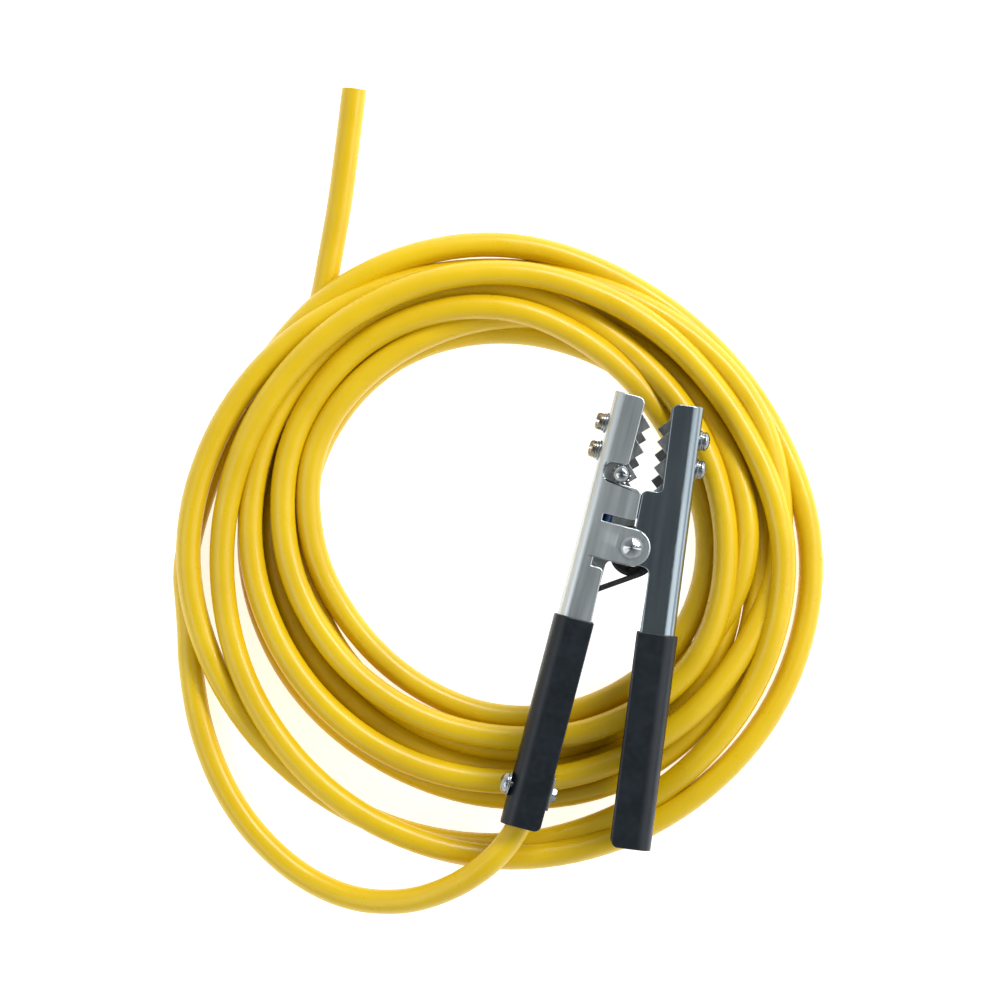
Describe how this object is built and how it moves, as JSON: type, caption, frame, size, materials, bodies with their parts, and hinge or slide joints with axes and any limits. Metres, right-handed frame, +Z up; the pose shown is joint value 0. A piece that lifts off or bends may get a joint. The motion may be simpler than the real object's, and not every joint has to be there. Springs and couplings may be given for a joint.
{
  "type": "grounding clamp",
  "caption": "Sprung plier clamp with toothed steel jaws and vinyl grips, on a coiled yellow two-core cable held by a saddle in one handle.",
  "frame": {"origin": "the middle of the jaws' mouth, halfway across the channels", "axes": "+Y along the closed clamp from the handles to the jaws' tips, +X across the two arms towards the arm without a cable, +Z up, away from the coil"},
  "size_m": [0.323, 0.4086, 0.052],
  "materials": {
    "stainless_steel": "brushed stainless sheet",
    "vinyl_grip": "dark blue dipped vinyl, satin",
    "jaw_steel": "stamped steel, dull",
    "polished_steel": "polished rivet",
    "spring_steel": "black oiled spring wire",
    "blue_core": "glossy core insulation",
    "brown_core": "glossy core insulation",
    "yellow_jacket": "glossy yellow cable jacket",
    "tinned_copper": "tinned terminal",
    "zinc_plate": "bright zinc plate"
  },
  "bodies": {
    "cable_arm": {"cable_arm_channel": "stainless_steel", "cable_arm_grip": "vinyl_grip", "cable_arm_jaw": "jaw_steel", "cable_arm_jaw_screws": "zinc_plate", "cable_arm_spring_washers": "zinc_plate", "cable_arm_flat_washers": "zinc_plate", "cable_arm_jaw_nuts": "zinc_plate", "terminal_screw": "zinc_plate", "terminal_lock_washer": "zinc_plate", "terminal_nut": "zinc_plate", "ring_terminal": "tinned_copper", "core_blue": "blue_core", "core_brown": "brown_core", "cable_jacket_end": "yellow_jacket", "pivot_rivet": "polished_steel", "pivot_bush": "stainless_steel", "torsion_spring": "spring_steel", "strain_relief_screw": "zinc_plate", "strain_relief_washer": "zinc_plate", "strain_relief_saddle": "zinc_plate", "strain_relief_nut": "zinc_plate", "cable_lead": "yellow_jacket", "cable_coil": "yellow_jacket", "cable_tail": "yellow_jacket"},
    "plain_arm": {"plain_arm_channel": "stainless_steel", "plain_arm_grip": "vinyl_grip", "plain_arm_jaw": "jaw_steel", "plain_arm_jaw_screws": "zinc_plate", "plain_arm_spring_washers": "zinc_plate", "plain_arm_flat_washers": "zinc_plate", "plain_arm_jaw_nuts": "zinc_plate"}
  },
  "joints": [
    {"name": "jaw_pivot", "type": "hinge", "parent": "cable_arm", "child": "plain_arm", "pos_m": [0, -0.046, 0], "axis": [0, 0, -1], "range_deg": [0, 12.5], "stiffness_Nm_per_rad": 3, "springref_deg": -45.84, "deforming": ["torsion_spring"]}
  ]
}
